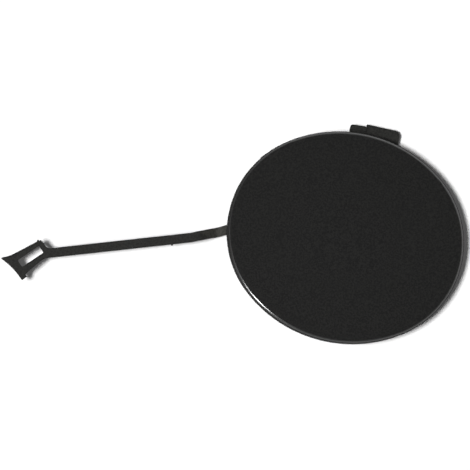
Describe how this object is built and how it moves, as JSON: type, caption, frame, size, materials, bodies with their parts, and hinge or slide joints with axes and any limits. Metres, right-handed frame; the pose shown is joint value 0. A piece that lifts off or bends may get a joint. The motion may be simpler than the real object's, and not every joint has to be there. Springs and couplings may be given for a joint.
{
  "type": "bumper tow hook cover",
  "caption": "Oval black plastic cover for a bumper's tow hook opening, with a collar, snap clips, a rigid hook and a captive strap ending in an anchor.",
  "frame": {"origin": "under the middle of the oval face, on the plane of the collar's rim, which the cover lies on", "axes": "+X along the long axis of the oval face, away from the strap; +Y towards the rigid hook; +Z out of the face"},
  "size_m": [0.15, 0.0804, 0.013],
  "materials": {
    "black_polypropylene": "fine matt moulded grain with a smoother rounded edge"
  },
  "bodies": {
    "root": {"tow_hook_cover": "black_polypropylene"}
  },
  "joints": []
}
